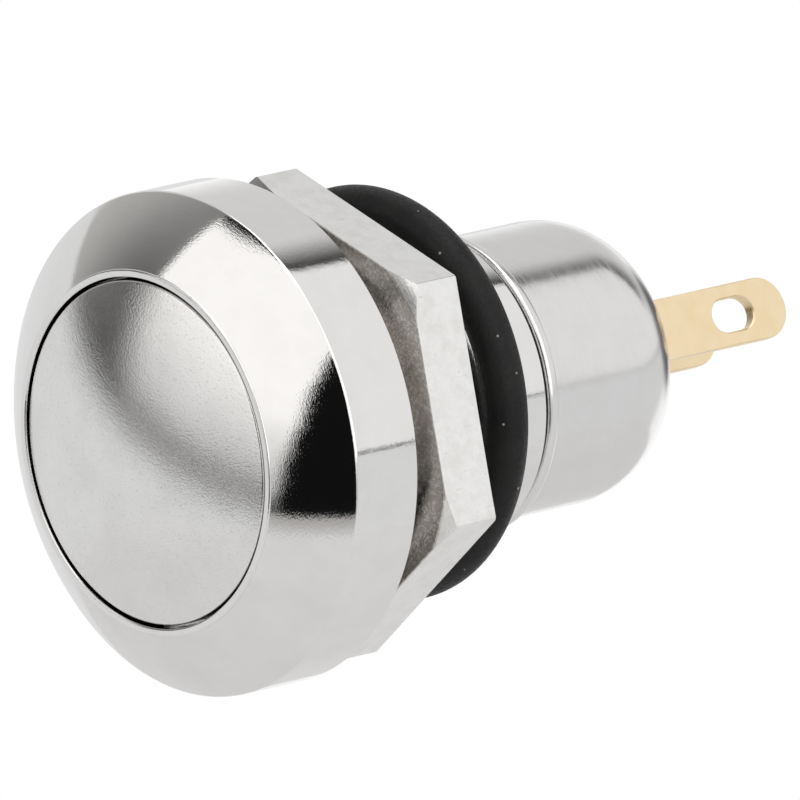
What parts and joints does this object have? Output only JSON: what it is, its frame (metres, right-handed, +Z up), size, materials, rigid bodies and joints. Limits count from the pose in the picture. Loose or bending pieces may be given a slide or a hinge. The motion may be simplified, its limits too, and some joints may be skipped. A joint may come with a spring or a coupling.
{
  "type": "anti vandal push button",
  "caption": "Momentary panel push button with a domed metal button in a round bevelled head, a threaded bush with hex nut and rubber ring, and solder terminals.",
  "frame": {"origin": "centre of the flange's seat, the flat face of the head that lies on the panel", "axes": "+Y along the switch's axis from the head to the terminals, so the button faces -Y; +Z up"},
  "size_m": [0.018, 0.0295, 0.018],
  "materials": {
    "nickel_plate": "polished nickel plate",
    "nut_plate": "milled flats under nickel plate",
    "satin_nickel": "blasted satin nickel",
    "seal_rubber": "matt black rubber",
    "spring_steel": "drawn spring wire",
    "moulded_plastic": "black moulded plastic",
    "potting_resin": "black casting resin",
    "contact_brass": "stamped brass",
    "silver": "silver contact metal",
    "gold_plate": "satin pale gold plate"
  },
  "bodies": {
    "housing": {"bezel_bush": "nickel_plate", "button_seal": "seal_rubber", "return_spring": "spring_steel", "rear_cup": "nickel_plate", "body_gasket": "seal_rubber", "contact_housing": "moulded_plastic", "terminal_base": "moulded_plastic", "potting_seal": "potting_resin", "terminal_right": "gold_plate", "terminal_left": "gold_plate", "fixed_tip_right": "silver", "fixed_tip_left": "silver"},
    "button": {"button_cap": "satin_nickel", "retaining_clip": "spring_steel", "plunger": "moulded_plastic", "contact_spring": "spring_steel"},
    "bridge": {"contact_bridge": "contact_brass", "bridge_tip_right": "silver", "bridge_tip_left": "silver"},
    "panel_ring": {"panel_o_ring": "seal_rubber"},
    "nut": {"hex_nut": "nut_plate"}
  },
  "joints": [
    {"name": "button_press", "type": "slide", "parent": "housing", "child": "button", "axis": [0, 1, 0], "range_m": [0, 0.0015], "stiffness_N_per_m": 1200, "springref_m": -0.0015, "deforming": ["return_spring"]},
    {"name": "bridge_travel", "type": "slide", "parent": "housing", "child": "bridge", "axis": [0, 1, 0], "range_m": [0, 0.001], "deforming": ["contact_spring"]},
    {"name": "nut_travel", "type": "slide", "parent": "housing", "child": "panel_ring", "axis": [0, 1, 0], "range_m": [0, 0.022]},
    {"name": "nut_turn", "type": "hinge", "parent": "panel_ring", "child": "nut", "pos_m": [0, 0, 0], "axis": [0, 1, 0], "range_deg": [0, 7920]}
  ],
  "couplings": [
    {"joint": "bridge_travel", "follows": "button_press", "ratio": 0.6666},
    {"joint": "nut_turn", "follows": "nut_travel", "rad_per_m": 6283.2}
  ]
}
